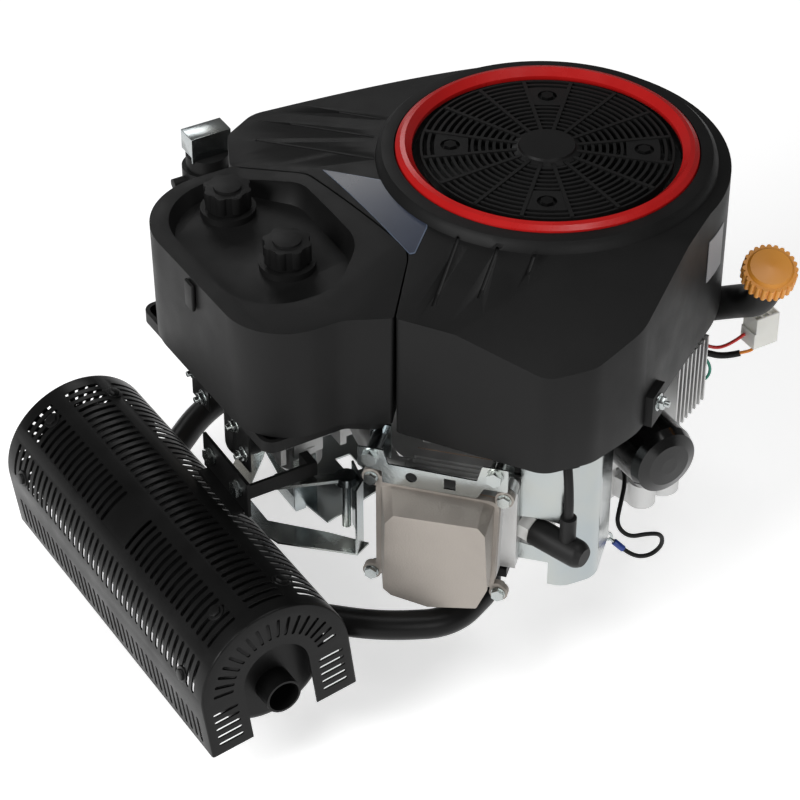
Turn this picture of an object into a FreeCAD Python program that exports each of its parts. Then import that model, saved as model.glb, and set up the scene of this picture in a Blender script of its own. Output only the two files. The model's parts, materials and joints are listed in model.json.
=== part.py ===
import FreeCAD, Part
import os
from math import acos, atan2, cos, degrees, pi, radians, sin, sqrt, tan

# Vertical-shaft 90 degree V-twin petrol engine, in millimetres.
# The origin is on the crankshaft axis at the mounting flange face. +Z runs up to the fan and
# -X is the middle of the V. Cylinder 1 points to -X -Y, cylinder 2 to -X +Y and 24 mm higher.

# crank train
bore = 77.0
throw = 38.0
rod_length = 130.0
axis_z = {1: 100.0, 2: 124.0}
journal_r = 17.5
crankpin_r = 18.0
pto_r = 12.7
pto_end_z = -80.0
running_gap = 0.05
web_r = 64.0
cam_x = -78.0
cam_shaft_r = 9.0
gear_module = 2.0
crank_teeth = 26
cam_teeth = 52

# castings
flange_pcd = 254.0
flange_hole_r = 5.0
flange_turn = -57.0
drain_turn = -71.0
sump_top = 52.0
case_top = 178.0
case_r = 98.0
case_wall = 8.0
deck_r = 204.0
head_top = 247.5
cover_flange_t = 6.0
cover_face_r = 285.0
fin_pitch = 9.0
fin_t = 2.2

# flywheel, fan and housing
flywheel_r = 108.0
ring_gear_r = 116.0
fan_z = 232.5
housing_z0 = 186.0
housing_r = 158.0
housing_wall = 3.0
lip_z = 325.0
lip_r = 145.0
top_z = 320.0
slope = 0.17
facet = (374.0, 0.07, 0.36)
ring_z = 335.0
ring_in = 116.0
ring_out = 130.0
screen_r = 109.0
screen_z = 329.0
screen_bolt_r = 83.0
screen_bolt_turn = 57.5

# air cleaner
cover_z0 = 193.0
cover_z1 = 300.0
knob_places = {1: (-255.0, 103.0), 2: (-249.0, 7.0)}
knob_r = 21.0

# starter motor
starter_r = 131.0
starter_turn = 54.0
starter_place = (starter_r * cos(radians(starter_turn)), starter_r * sin(radians(starter_turn)))

# fuel pump
pump_place = (-196.0, 264.0)

# muffler
muffler_x = -375.0
muffler_z = 36.0
muffler_roll = 7.0
muffler_yaw = 2.1
shield_w = 140.6
shield_h = 55.4
shield_y = (-184.0, 178.0)
shield_t = 1.5
can_r = 56.0
tail_r = 16.0

Z = FreeCAD.Vector(0, 0, 1)
X = FreeCAD.Vector(1, 0, 0)
Y = FreeCAD.Vector(0, 1, 0)
ORIGIN = FreeCAD.Vector(0, 0, 0)
nodes = {}


def vec(x, y, z):
    return FreeCAD.Vector(x, y, z)


def rod(r, start, end):
    line = vec(*end) - vec(*start)
    return Part.makeCylinder(r, line.Length, vec(*start), line)


def ring(r_out, r_in, z0, z1, x=0.0, y=0.0):
    outer = Part.makeCylinder(r_out, z1 - z0, vec(x, y, z0))
    return outer.cut(Part.makeCylinder(r_in, z1 - z0, vec(x, y, z0)))


def disc(r, z0, z1, x=0.0, y=0.0):
    return Part.makeCylinder(r, z1 - z0, vec(x, y, z0))


def block(x0, x1, y0, y1, z0, z1):
    return Part.makeBox(x1 - x0, y1 - y0, z1 - z0, vec(x0, y0, z0))


def prism(points, z0, z1):
    wire = Part.makePolygon([vec(x, y, z0) for x, y in points] + [vec(*points[0], z0)])
    return Part.Face(wire).extrude(vec(0, 0, z1 - z0))


def rounded(points, radius):
    # closed outline with each corner turned into an arc; radius may be one number or a list
    count = len(points)
    sizes = radius if isinstance(radius, list) else [radius] * count
    edges = []
    marks = []
    for i, (x, y) in enumerate(points):
        p = vec(x, y, 0)
        a = vec(*points[i - 1], 0) - p
        b = vec(*points[(i + 1) % count], 0) - p
        a.normalize()
        b.normalize()
        half = acos(max(-1.0, min(1.0, a.dot(b)))) / 2
        back = sizes[i] / tan(half)
        middle = a + b
        middle.normalize()
        top = p + middle * (sizes[i] / sin(half) - sizes[i])
        marks.append((p + a * back, top, p + b * back))
    for i in range(count):
        first, top, last = marks[i]
        edges.append(Part.Arc(first, top, last).toShape())
        edges.append(Part.LineSegment(last, marks[(i + 1) % count][0]).toShape())
    return Part.Wire(edges)


def outline_solid(points, radius, z0, z1):
    wire = rounded(points, radius)
    wire.translate(vec(0, 0, z0))
    return Part.Face(wire).extrude(vec(0, 0, z1 - z0))


def turned(profile):
    # a solid of revolution about Z from (radius, height) points
    points = [vec(r, 0, z) for r, z in profile]
    face = Part.Face(Part.makePolygon(points + points[:1]))
    return face.revolve(ORIGIN, Z, 360)


def largest(shape):
    return max(shape.Solids, key=lambda solid: solid.Volume)


def fused(shapes):
    return shapes[0].multiFuse(shapes[1:]).removeSplitter()


def turn(shape, degrees_z, x=0.0, y=0.0):
    out = shape.copy()
    out.rotate(vec(x, y, 0), Z, degrees_z)
    return out


def at_cylinder(shape, n):
    # local +X points out along the cylinder from the crankshaft, z = 0 is the cylinder's axis
    out = turn(shape, 225)
    if n == 2:
        out = out.mirror(ORIGIN, Y)
    out.translate(vec(0, 0, axis_z[n]))
    return out


def route_path(name, points, section_r):
    # straight runs joined by tangent arcs, each as large as its two runs allow
    spots = [vec(*p) for p in points]
    edges = []
    start = spots[0]
    radii = []
    for i in range(1, len(spots) - 1):
        a = spots[i - 1] - spots[i]
        b = spots[i + 1] - spots[i]
        run = min(a.Length, b.Length)
        a.normalize()
        b.normalize()
        turn_half = (pi - acos(max(-1.0, min(1.0, a.dot(b))))) / 2
        back = 0.45 * run
        radius = back / tan(turn_half)
        radii.append(round(radius, 1))
        middle = a + b
        middle.normalize()
        top = spots[i] + middle * (radius / cos(turn_half) - radius)
        edges.append(Part.LineSegment(start, spots[i] + a * back).toShape())
        edges.append(Part.Arc(spots[i] + a * back, top, spots[i] + b * back).toShape())
        start = spots[i] + b * back
    edges.append(Part.LineSegment(start, spots[-1]).toShape())
    path = Part.Wire(edges)
    print(name, "length", round(path.Length, 1), "section radius", section_r, "arc radii", radii)
    return path


def tube(name, points, r, r_in=0.0):
    path = route_path(name, points, r)
    heading = vec(*points[1]) - vec(*points[0])
    solid = path.makePipeShell([Part.Wire(Part.makeCircle(r, vec(*points[0]), heading))], True, False)
    print(name, "volume ratio", round(solid.Volume / (pi * r * r * path.Length), 4))
    if r_in:
        inside = Part.Wire(Part.makeCircle(r_in, vec(*points[0]), heading))
        solid = solid.cut(path.makePipeShell([inside], True, False))
    return solid


def hex_bolt(x, y, z, across=13.0, head=5.5, shank_r=4.0, shank=14.0, direction=1.0):
    # head above z when direction is +1, shank below it
    flats = across / sqrt(3)
    points = [(x + flats * cos(k * pi / 3), y + flats * sin(k * pi / 3)) for k in range(6)]
    body = prism(points, z, z + head * direction)
    washer = Part.makeCylinder(across * 0.62, 1.2, vec(x, y, z), vec(0, 0, direction))
    return fused([body, washer, rod(shank_r, (x, y, z), (x, y, z - shank * direction))])


def laid(shape, base, heading):
    # moves a shape made on the Z axis at the origin to base, with +Z along heading
    out = shape.copy()
    line = vec(*heading)
    out.Placement = FreeCAD.Placement(vec(*base), FreeCAD.Rotation(Z, line))
    return out


def gear(teeth, bore_r, z0, z1, x, first):
    # first is the angle of one tooth, in degrees
    pitch_r = gear_module * teeth / 2
    root_r = pitch_r - 1.25 * gear_module
    tip_r = pitch_r + 0.95 * gear_module
    step = 2 * pi / teeth
    points = []
    for k in range(teeth):
        middle = radians(first) + k * step
        for r, part in ((root_r, -0.33), (pitch_r, -0.23), (tip_r, -0.11),
                        (tip_r, 0.11), (pitch_r, 0.23), (root_r, 0.33)):
            points.append((x + r * cos(middle + part * step), r * sin(middle + part * step)))
    body = prism(points, z0, z1)
    return body.cut(disc(bore_r, z0 - 1, z1 + 1, x, 0))


def bolt_circle(radius, count, first):
    angles = [radians(first + k * 360.0 / count) for k in range(count)]
    return [(radius * cos(a), radius * sin(a)) for a in angles]


screen_places = bolt_circle(screen_bolt_r, 4, screen_bolt_turn)


# ---- crank train ----

def crankshaft():
    shaft = turned([
        (0, pto_end_z), (pto_r - 1.2, pto_end_z), (pto_r, pto_end_z + 1.2), (pto_r, -3), (journal_r, -1),
        (journal_r, 68), (0, 68),
    ])
    web = fused([disc(24, 68, 85, -throw), disc(web_r, 68, 85).common(block(-2, 70, -70, 70, 68, 85)),
                 block(-throw, 0, -24, 24, 68, 85)])
    upper_web = web.copy()
    upper_web.translate(vec(0, 0, 71))
    nose = turned([(0, 156), (journal_r, 156), (journal_r, 190), (14.5, 194), (12, 231.5), (9, 231.5), (9, 258),
                   (8, 259), (0, 259)])
    body = fused([shaft, web, disc(crankpin_r, 85, 139, -throw), upper_web, nose])
    keyway = block(-3.2, 3.2, pto_r - 3.2, pto_r + 3, pto_end_z - 1, -28)
    thread = disc(5.0, pto_end_z - 1, pto_end_z + 38)
    return body.cut(keyway).cut(thread)


def crank_gear():
    return gear(crank_teeth, journal_r + 0.02, 34, 46, 0, 180)


def camshaft():
    lobes = []
    for n, local_z, aim in ((1, -11, 250), (1, 8, 20), (2, -8, 110), (2, 11, 240)):
        z0 = axis_z[n] + local_z - 3
        base = disc(13, z0, z0 + 6, cam_x)
        nose = disc(9, z0, z0 + 6, cam_x + 8 * cos(radians(aim)), 8 * sin(radians(aim)))
        lobes.append(base.fuse(nose))
    return fused([disc(cam_shaft_r, 22, 170, cam_x)] + lobes)


def cam_gear():
    half_step = 180.0 / cam_teeth
    body = gear(cam_teeth, cam_shaft_r + 0.02, 34, 46, cam_x, half_step)
    body = body.cut(ring(43, 18, 33, 36.5, cam_x)).cut(ring(43, 18, 43.5, 47, cam_x))
    for x, y in bolt_circle(31, 5, 0):
        body = body.cut(disc(6, 30, 50, cam_x + x, y))
    return body


def pin_distance():
    return throw * cos(pi / 4) + sqrt(rod_length ** 2 - (throw * sin(pi / 4)) ** 2)


def piston(n):
    pin_x = pin_distance()
    r = bore / 2 - 0.12
    body = rod(r, (pin_x - 24, 0, 0), (pin_x + 30, 0, 0))
    body = body.cut(rod(r - 6, (pin_x - 25, 0, 0), (pin_x + 20, 0, 0)))
    bosses = rod(14, (pin_x, 0, -r + 1), (pin_x, 0, -13)).fuse(rod(14, (pin_x, 0, 13), (pin_x, 0, r - 1)))
    body = body.fuse(bosses.common(rod(r, (0, 0, 0), (300, 0, 0))))
    rings = []
    for k in range(3):
        x0 = pin_x + 25 - 5.5 * k
        groove = rod(r + 1, (x0, 0, 0), (x0 - 2, 0, 0)).cut(rod(r - 3, (x0, 0, 0), (x0 - 2, 0, 0)))
        body = body.cut(groove)
        band = rod(bore / 2, (x0 - 0.1, 0, 0), (x0 - 1.9, 0, 0))
        rings.append(band.cut(rod(r - 2.8, (x0, 0, 0), (x0 - 2, 0, 0))))
    wrist = rod(9, (pin_x, 0, -33), (pin_x, 0, 33)).cut(rod(5, (pin_x, 0, -34), (pin_x, 0, 34)))
    body = body.cut(rod(9.02, (pin_x, 0, -50), (pin_x, 0, 50)))
    return at_cylinder(Part.makeCompound([body, wrist] + rings), n)


def connecting_rod(n):
    z0 = axis_z[n] - 11
    z1 = axis_z[n] + 11
    sign = -1 if n == 1 else 1
    reach = pin_distance() * sin(pi / 4)
    end_x = -reach
    end_y = sign * reach
    dx = (end_x + throw) / rod_length
    dy = end_y / rod_length
    big = disc(22, z0, z1, -throw)
    small = disc(14, z0, z1, end_x, end_y)
    side = vec(-dy, dx, 0)
    points = []
    for along, half in ((0, 12), (rod_length, 8.5), (rod_length, -8.5), (0, -12)):
        points.append((-throw + dx * along + side.x * half, dy * along + side.y * half))
    shank = prism(points, axis_z[n] - 7, axis_z[n] + 7)
    body = fused([big, small, shank])
    body = body.cut(disc(crankpin_r + running_gap, z0 - 1, z1 + 1, -throw))
    return body.cut(disc(9 + running_gap, z0 - 1, z1 + 1, end_x, end_y))


def flywheel():
    disc_body = turned([(12.4, 210), (30, 210), (34, 218), (88, 218), (96, 202), (flywheel_r, 202),
                        (flywheel_r, 242), (98, 242), (94, 228), (34, 228), (28, 232), (11.5, 232)])
    taper = turned([(0, 200), (14.1, 200), (11.6, 240), (0, 240)])
    magnet_gap = block(flywheel_r - 3, flywheel_r + 4, -16, 16, 222, 238)
    return disc_body.cut(taper).cut(magnet_gap)


def ring_gear():
    points = []
    teeth = 110
    for k in range(teeth):
        for r, part in ((ring_gear_r - 4, -0.3), (ring_gear_r, -0.14), (ring_gear_r, 0.14), (ring_gear_r - 4, 0.3)):
            a = 2 * pi * (k + part) / teeth
            points.append((r * cos(a), r * sin(a)))
    return prism(points, 203, 213).cut(disc(flywheel_r + 0.02, 200, 220))


def flywheel_fixings():
    nut = prism([(13.5 * cos(k * pi / 3), 13.5 * sin(k * pi / 3)) for k in range(6)], 235, 247)
    washer = ring(17, 9.1, 232.1, 234.9)
    magnets = block(flywheel_r - 2.9, flywheel_r - 0.2, -15, 15, 223, 237)
    return Part.makeCompound([nut.cut(disc(9.02, 230, 250)), washer, magnets])


def cooling_fan():
    hub = turned([(18.5, fan_z), (60, fan_z), (104, fan_z + 16), (104, fan_z + 19), (60, fan_z + 5),
                  (24, fan_z + 5), (24, 292), (18.5, 292)])
    blade = block(22, 104, -1.25, 1.25, fan_z + 1, 290).cut(
        turned([(0, 200), (62, 200), (62, fan_z + 1), (104.5, fan_z + 16.5), (110, fan_z + 16.5), (110, 200)]))
    blade = blade.common(turned([(22, 200), (104, 200), (104, 284), (60, 290), (22, 290)]))
    blades = [turn(blade, k * 22.5) for k in range(16)]
    towers = [disc(6, fan_z + 8, screen_z - 7.3, x, y) for x, y in screen_places]
    body = fused([hub] + blades + towers)
    for x, y in screen_places:
        body = body.cut(disc(2.6, 300, screen_z, x, y))
    return body


def rotating_screen():
    floor = screen_z - 8
    pieces = [ring(screen_r, screen_r - 2, floor, screen_z), turned([
        (0, floor + 1), (28, floor + 1), (30, screen_z - 1), (25, screen_z + 1), (24, screen_z + 3), (0, screen_z + 3)])]
    for k in range(12):
        r = 33.0 + 6.25 * k
        pieces.append(ring(r + 1.3, r - 1.3, floor + 2, screen_z))
    spoke = block(26, screen_r - 1, -1.6, 1.6, floor + 1, screen_z + 0.6)
    pieces += [turn(spoke, screen_bolt_turn - 11.25 + k * 22.5) for k in range(16)]
    for k in range(4):
        a0 = radians(screen_bolt_turn + 90 * k - 11.25)
        a1 = radians(screen_bolt_turn + 90 * k + 11.25)
        pad = [(r * cos(a), r * sin(a)) for r, a in ((69, a0), (97, a0), (97, a1), (69, a1))]
        pieces.append(prism(pad, floor + 1, screen_z))
    body = fused(pieces)
    for x, y in screen_places:
        body = body.cut(disc(2.6, 300, 350, x, y))
        body = body.cut(disc(8.5, screen_z - 3, 350, x, y))
    return body


def screen_bolts():
    bolts = []
    for x, y in screen_places:
        bolts.append(hex_bolt(x, y, screen_z - 3, 10.0, 4.0, 2.5, 22.0))
    return Part.makeCompound(bolts)


# ---- castings ----

def case_plan(r, bulge, z0, z1):
    return disc(r, z0, z1).fuse(disc(bulge, z0, z1, cam_x))


def case_bolt_places():
    places = [(103 * cos(radians(a)), 103 * sin(radians(a))) for a in range(-108, 109, 36)]
    for a in (135, 180, 225):
        places.append((cam_x + 69.5 * cos(radians(a)), 69.5 * sin(radians(a))))
    return places


def sump():
    body = case_plan(100, 66, 0, sump_top)
    body = fused([body, case_plan(109, 75, sump_top - 8, sump_top)])
    ears = []
    for k in range(4):
        a = flange_turn + 90 * k
        ear = disc(15, 0, 26, flange_pcd / 2, 0).fuse(block(80, flange_pcd / 2, -12, 12, 0, 22))
        ears.append(turn(ear, a))
    body = fused([body] + ears)
    drain = turn(disc(13, 2, 27, 122, 0).fuse(block(84, 122, -11, 11, 2, 24)), drain_turn)
    body = fused([body, drain])
    for k in range(4):
        body = body.cut(turn(disc(flange_hole_r, -1, 40, flange_pcd / 2, 0), flange_turn + 90 * k))
        body = body.cut(turn(disc(9.5, 26, sump_top + 1, flange_pcd / 2, 0), flange_turn + 90 * k))
    body = body.cut(case_plan(92, 58, 8, sump_top + 1))
    boss = disc(31, 0, 30).fuse(disc(16, 5, 33, cam_x))
    ribs = [turn(block(20, 94, -3, 3, 5, 20), k * 45.0) for k in range(8)]
    body = fused([body, boss] + ribs)
    body = body.cut(disc(22.3, -1, 31)).cut(disc(cam_shaft_r + running_gap, 21, 40, cam_x))
    for x, y in case_bolt_places():
        body = body.cut(disc(4.1, 40, 60, x, y)).cut(disc(8.3, 30, sump_top - 8, x, y))
    return body.cut(disc(29.5, 30, 80, *starter_place))


def crankcase():
    outer = case_plan(case_r, 28, sump_top + 0.5, case_top)
    outer = fused([outer, case_plan(109, 75, sump_top + 0.5, sump_top + 8.5)])
    pads = [at_cylinder(block(84, 100, -54, 54, -46, 46), n) for n in (1, 2)]
    tunnels = [at_cylinder(block(72, 100, -62, -44, -19, 19), n) for n in (1, 2)]
    filter_boss = rod(24, (8, -88, 112), (8, -117, 112))
    outer = fused([outer] + pads + tunnels + [filter_boss])
    outer = outer.cut(case_plan(90, 20, sump_top, case_top - 10))
    outer = fused([outer, disc(32, 160, case_top + 6), disc(15, 160, 172, cam_x)])
    outer = outer.cut(disc(22.3, 150, 200)).cut(disc(cam_shaft_r + running_gap, 150, 171, cam_x))
    for n in (1, 2):
        outer = outer.cut(at_cylinder(rod(45.1, (60, 0, 0), (110, 0, 0)), n))
        outer = outer.cut(at_cylinder(block(60, 110, -57, -46.5, -15, 15), n))
    for x, y in case_bolt_places():
        outer = outer.cut(disc(4.1, 40, sump_top + 8, x, y))
    outer = outer.cut(disc(web_r + 2, sump_top, 160))
    for k in range(4):
        outer = outer.cut(turn(disc(9.5, sump_top, sump_top + 8.4, flange_pcd / 2, 0), flange_turn + 90 * k))
    return outer.cut(disc(29.5, 40, 80, *starter_place))


def sump_bolts():
    return [hex_bolt(x, y, sump_top - 8, 12, 5, 3.9, 15, -1.0) for x, y in case_bolt_places()]


def main_bearings():
    lower = ring(22.25, journal_r + running_gap, 12, 30)
    upper = ring(22.25, journal_r + running_gap, 160, 184)
    seal = ring(22.25, journal_r + 0.08, 2, 11).cut(ring(19.5, journal_r + 1.5, 2, 5))
    return Part.makeCompound([lower, upper, seal])


def cylinder(n):
    body = rod(44.8, (84, 0, 0), (deck_r, 0, 0))
    shapes = [body, block(100.2, 108, -60, 53, -45.5, 45.5), block(deck_r - 8, deck_r, -60, 53, -45.5, 45.5)]
    x = 113.0
    while x < deck_r - 12:
        fin = block(x, x + fin_t, -60, 54, -45.5, 45.5)
        shapes.append(fin)
        x += fin_pitch
    body = fused(shapes)
    body = body.cut(rod(bore / 2 + running_gap, (80, 0, 0), (220, 0, 0)))
    body = body.cut(block(80, 220, -57, -46.5, -15, 15))
    return largest(at_cylinder(body, n).cut(case_plan(110, 76, 0, sump_top + 9.5)))


# heads, local to each cylinder: +X outwards, +Y away from the middle of the V
cover_outline = [(-83, 44), (23, 43), (20, -52), (-83, -52)]
cover_bolts = [(-87, 48), (27, 47), (24, -56), (-87, -56)]
cover_face = [(-67, 26), (-60, 36), (12, 38), (18, 30), (21, -28), (12, -50), (-30, -58), (-62, -52), (-69, -46)]
plug_base = (219.0, 36.0, -6.0)
plug_line = (0.40, 0.91, -0.05)
exhaust_port = (220.0, 4.0)
intake_port = (218.0, 28.0)


def yz_face(points, x, radius):
    wire = rounded([(p[0], p[1]) for p in points], radius)
    wire.rotate(ORIGIN, vec(1, 1, 1), 120)
    wire.translate(vec(x, 0, 0))
    return wire


def yz_solid(points, x0, x1, radius):
    return Part.Face(yz_face(points, x0, radius)).extrude(vec(x1 - x0, 0, 0))


def head(n):
    shapes = [block(deck_r + 0.8, 215, -60, 53, -45.5, 45.5), block(215, 236, -50, 34, -40, 40)]
    for k in range(3):
        x = 218.0 + 6.0 * k
        shapes.append(block(x, x + fin_t, -60, 33, -45.5, 45.5))
    shapes.append(yz_solid(cover_outline, 234, head_top, 8))
    for t, z in cover_bolts:
        shapes.append(rod(8, (234, t, z), (head_top, t, z)))
    shapes.append(rod(15, (exhaust_port[0], exhaust_port[1], -30), (exhaust_port[0], exhaust_port[1], -47)))
    shapes.append(rod(13, (intake_port[0], -30, intake_port[1]), (intake_port[0], -66, intake_port[1])))
    body = fused(shapes)
    body = body.cut(rod(36, (deck_r, 0, 0), (209, 0, 0)))
    body = body.cut(block(237, 250, -74, 16, -44, 36))
    body = body.cut(block(200, 240, -57, -46.5, -15, 15))
    body = body.cut(rod(11, (exhaust_port[0], exhaust_port[1], -20), (exhaust_port[0], exhaust_port[1], -48)))
    body = body.cut(rod(11, (intake_port[0], -20, intake_port[1]), (intake_port[0], -67, intake_port[1])))
    line = vec(*plug_line)
    line.normalize()
    base = vec(*plug_base)
    body = body.cut(Part.makeCylinder(7.1, 60, base - line * 38, line))
    body = body.cut(Part.makeCylinder(13, 60, base - line * 0.05, line))
    for z in (-16, 18):
        body = body.cut(rod(3.6, (200, -6, z), (250, -6, z)))
        body = body.cut(rod(15.2, (206, -6, z), (213, -6, z)))
    for t, z in cover_bolts:
        body = body.cut(rod(3.1, (238, t, z), (250, t, z)))
    return at_cylinder(largest(body), n)


def head_gasket(n):
    sheet = block(deck_r + 0.05, deck_r + 0.75, -60, 53, -45.5, 45.5)
    sheet = sheet.cut(rod(39.5, (200, 0, 0), (210, 0, 0))).cut(block(200, 210, -57, -46.5, -15, 15))
    return at_cylinder(sheet, n)


def gaskets():
    shapes = []
    for n in (1, 2):
        shapes.append(head_gasket(n))
        rim = yz_solid(cover_outline, head_top + 0.05, head_top + 0.95, 8)
        rim = rim.cut(block(240, 250, -74, 16, -44, 36))
        shapes.append(at_cylinder(rim, n))
    return Part.makeCompound(shapes)


def valve_cover(n):
    x0 = head_top + 1.0
    x1 = x0 + cover_flange_t
    flange = yz_solid(cover_outline, x0, x1, 8)
    ears = [rod(8, (x0, t, z), (x1, t, z)) for t, z in cover_bolts]
    webs = [rod(6, (x0, 0.93 * t, 0.93 * z), (x1, 0.93 * t, 0.93 * z)) for t, z in cover_bolts]
    foot = [(-79, 40), (-70, 42), (10, 41), (19, 38), (17, -40), (14, -48), (-40, -49), (-72, -49), (-79, -46)]
    base_wire = yz_face(foot, x1 - 1, 2.5)
    face_wire = yz_face(cover_face, cover_face_r, 2.5)
    dome = Part.makeLoft([base_wire, face_wire], True, True)
    inner_foot = [(0.94 * t - 1.8, 0.93 * z) for t, z in foot]
    inner_face = [(0.92 * t - 2, 0.9 * z) for t, z in cover_face]
    inside = Part.makeLoft([yz_face(inner_foot, x0 - 0.5, 2.0), yz_face(inner_face, cover_face_r - 5, 2.0)], True, True)
    body = fused([flange, dome] + ears + webs).cut(inside)
    for t, z in cover_bolts:
        body = body.cut(rod(3.2, (x0 - 5, t, z), (x1 + 5, t, z)))
        body = body.cut(rod(8.2, (x1, t, z), (x1 + 30, t, z)))
    return at_cylinder(body, n)


def out_bolt(x, t, z, across=10.0, head_h=5.0, shank_r=3.0, shank=13.0):
    # a flange bolt along the cylinder, with its head outwards
    bolt = hex_bolt(0, 0, 0, across, head_h, shank_r, shank)
    return laid(bolt, (x, t, z), (1, 0, 0))


def valve_cover_bolts():
    x1 = head_top + 1.0 + cover_flange_t
    bolts = []
    for n in (1, 2):
        bolts += [at_cylinder(out_bolt(x1, t, z), n) for t, z in cover_bolts]
    return bolts


def valve_train(n):
    pieces = []
    lobe_z = (-11.0, 8.0) if n == 1 else (-8.0, 11.0)
    for place, z in enumerate((-16.0, 18.0)):
        valve = fused([rod(14.8, (206.5, -6, z), (208.5, -6, z)), rod(3.4, (208, -6, z), (255, -6, z))])
        spring = []
        for k in range(6):
            circle = Part.makeTorus(9.5, 1.3, vec(238.5 + 2.7 * k, -6, z), X)
            spring.append(circle)
        retainer = rod(11, (253.4, -6, z), (255.4, -6, z)).cut(rod(3.45, (253, -6, z), (257, -6, z)))
        push_z = lobe_z[place]
        low = min(push_z, z) - 4
        high = max(push_z, z) + 4
        rocker = yz_solid([(-56, push_z - 4), (-30, low), (-1, z - 4), (-1, z + 4), (-30, high), (-56, push_z + 4)],
                          258.6, 266, 1)
        rocker = rocker.fuse(rod(8, (262, -31, low), (262, -31, high)))
        rocker = rocker.cut(rod(5.05, (262, -31, low - 1), (262, -31, high + 1)))
        push = rod(3.0, (77, -51.5, push_z), (258.4, -51.5, push_z))
        pieces += [valve, retainer, rocker, push] + spring
    shaft = rod(5.0, (262, -31, -26), (262, -31, 28))
    stands = block(237.2, 268, -36, -26, -3, 3).cut(rod(5.02, (262, -31, -30), (262, -31, 30)))
    pieces += [shaft, stands]
    return at_cylinder(Part.makeCompound(pieces), n)


def spark_plugs():
    plugs = []
    line = vec(*plug_line)
    line.normalize()
    base = vec(*plug_base)
    for n in (1, 2):
        thread = Part.makeCylinder(7.0, 18, base - line * 18, line)
        hexagon = laid(prism([(12 * cos(k * pi / 3), 12 * sin(k * pi / 3)) for k in range(6)], 0.2, 12),
                       tuple(base), tuple(line))
        porcelain = Part.makeCylinder(5.5, 34, base + line * 11, line)
        plugs.append(at_cylinder(fused([thread, Part.makeCylinder(9, 1, base, line), hexagon, porcelain]), n))
    return Part.makeCompound(plugs)


boot_r = 12.3
boot_reach = 46.0
boot_neck = 34.0


def plug_boots():
    boots = []
    line = vec(*plug_line)
    line.normalize()
    base = vec(*plug_base)
    tip = base + line * boot_reach
    for n in (1, 2):
        body = Part.makeCylinder(boot_r, 42, base + line * 13, line)
        body = body.fuse(Part.makeSphere(boot_r, base + line * 55).common(Part.makeCylinder(boot_r, 9, base + line * 55, line)))
        neck = rod(7.0, tuple(tip), (tip.x, tip.y, tip.z + boot_neck))
        body = fused([body, neck]).cut(Part.makeCylinder(5.7, 33.2, base + line * 12, line))
        boots.append(at_cylinder(body, n))
    return Part.makeCompound(boots)


lead_route = {
    1: [(233, 76, 60), (223, 71, 83), (198, 58, 98), (162, 42, 108)],
    2: [(221, 71, 46), (196, 56, 58), (152, 24, 98)],
}


def plug_leads():
    leads = []
    line = vec(*plug_line)
    line.normalize()
    tip = vec(*plug_base) + line * boot_reach
    first = (tip.x, tip.y, tip.z + boot_neck + 0.2)
    second = (tip.x, tip.y, tip.z + boot_neck + 14)
    for n in (1, 2):
        points = [first, second] + lead_route[n]
        leads.append(at_cylinder(tube("plug_lead_%d" % n, points, 4.0), n))
    return Part.makeCompound(leads)


def ignition_coils():
    coils = []
    for n in (1, 2):
        body = block(128, 152, -19, 19, 219, 245)
        legs = [block(flywheel_r + 0.6, 128, y - 5, y + 5, 224, 236) for y in (-15, 0, 15)]
        foot = block(118, 146, -25, -19, 190, 230)
        coil = fused([body] + legs + [foot])
        coils.append(turn(coil, 180 + (30 if n == 1 else -30)))
    return Part.makeCompound(coils)


# ---- sheet metal round the cylinders ----

def shroud(n):
    plan = [(226, 34), (226, 74), (206, 98), (150, 98), (150, 96.8), (205.4, 96.8), (224.8, 73.4), (224.8, 34)]
    low = -62 if n == 1 else -70
    high = 76 if n == 1 else 52
    sheet = outline_solid(plan, [0.3, 22, 22, 0.3, 0.3, 20.8, 20.8, 0.3], low, high)
    line = vec(*plug_line)
    line.normalize()
    sheet = sheet.cut(Part.makeCylinder(boot_r + 3.5, 60, vec(*plug_base), line))
    notch = block(214, 234, 62, 82, 66, 90) if n == 1 else block(195, 232, 60, 102, 32, 90)
    sheet = sheet.cut(notch)
    cut_low = prism([(229, 20), (229, 60), (215, 60), (215, 20)], low - 1, low + 24)
    return at_cylinder(largest(sheet.cut(cut_low)), n)


tab_places = [-87.0, 19.0]
strip_x = 255.2


def shroud_brackets():
    pieces = []
    strip = [(-77, 46), (-77, 58), (-98, 60), (-98, 80), (-76, 80), (-72, 66), (4, 64), (8, 80), (30, 80),
             (30, 57), (10, 57), (4, 46)]
    body = yz_solid(strip, strip_x, strip_x + 1.6, 1.5)
    body = body.cut(rod(5, (250, -52, 56), (260, -52, 56))).cut(block(250, 260, -24, -14, 50, 61))
    for t in tab_places:
        stand = block(222, 224, t - 9, t + 9, 45.6, 80).fuse(rod(6, (223, t, 72), (strip_x - 0.1, t, 72)))
        stand = stand.cut(rod(4.1, (220, t, 72), (260, t, 72)))
        body = body.cut(rod(4.2, (250, t, 72), (260, t, 72)))
        pieces.append(at_cylinder(stand, 1))
        pieces.append(at_cylinder(out_bolt(strip_x + 1.6, t, 72, 12.0, 6.0, 4.0, 16.0), 1))
    pieces.append(at_cylinder(body, 1))
    return Part.makeCompound(pieces)


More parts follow.
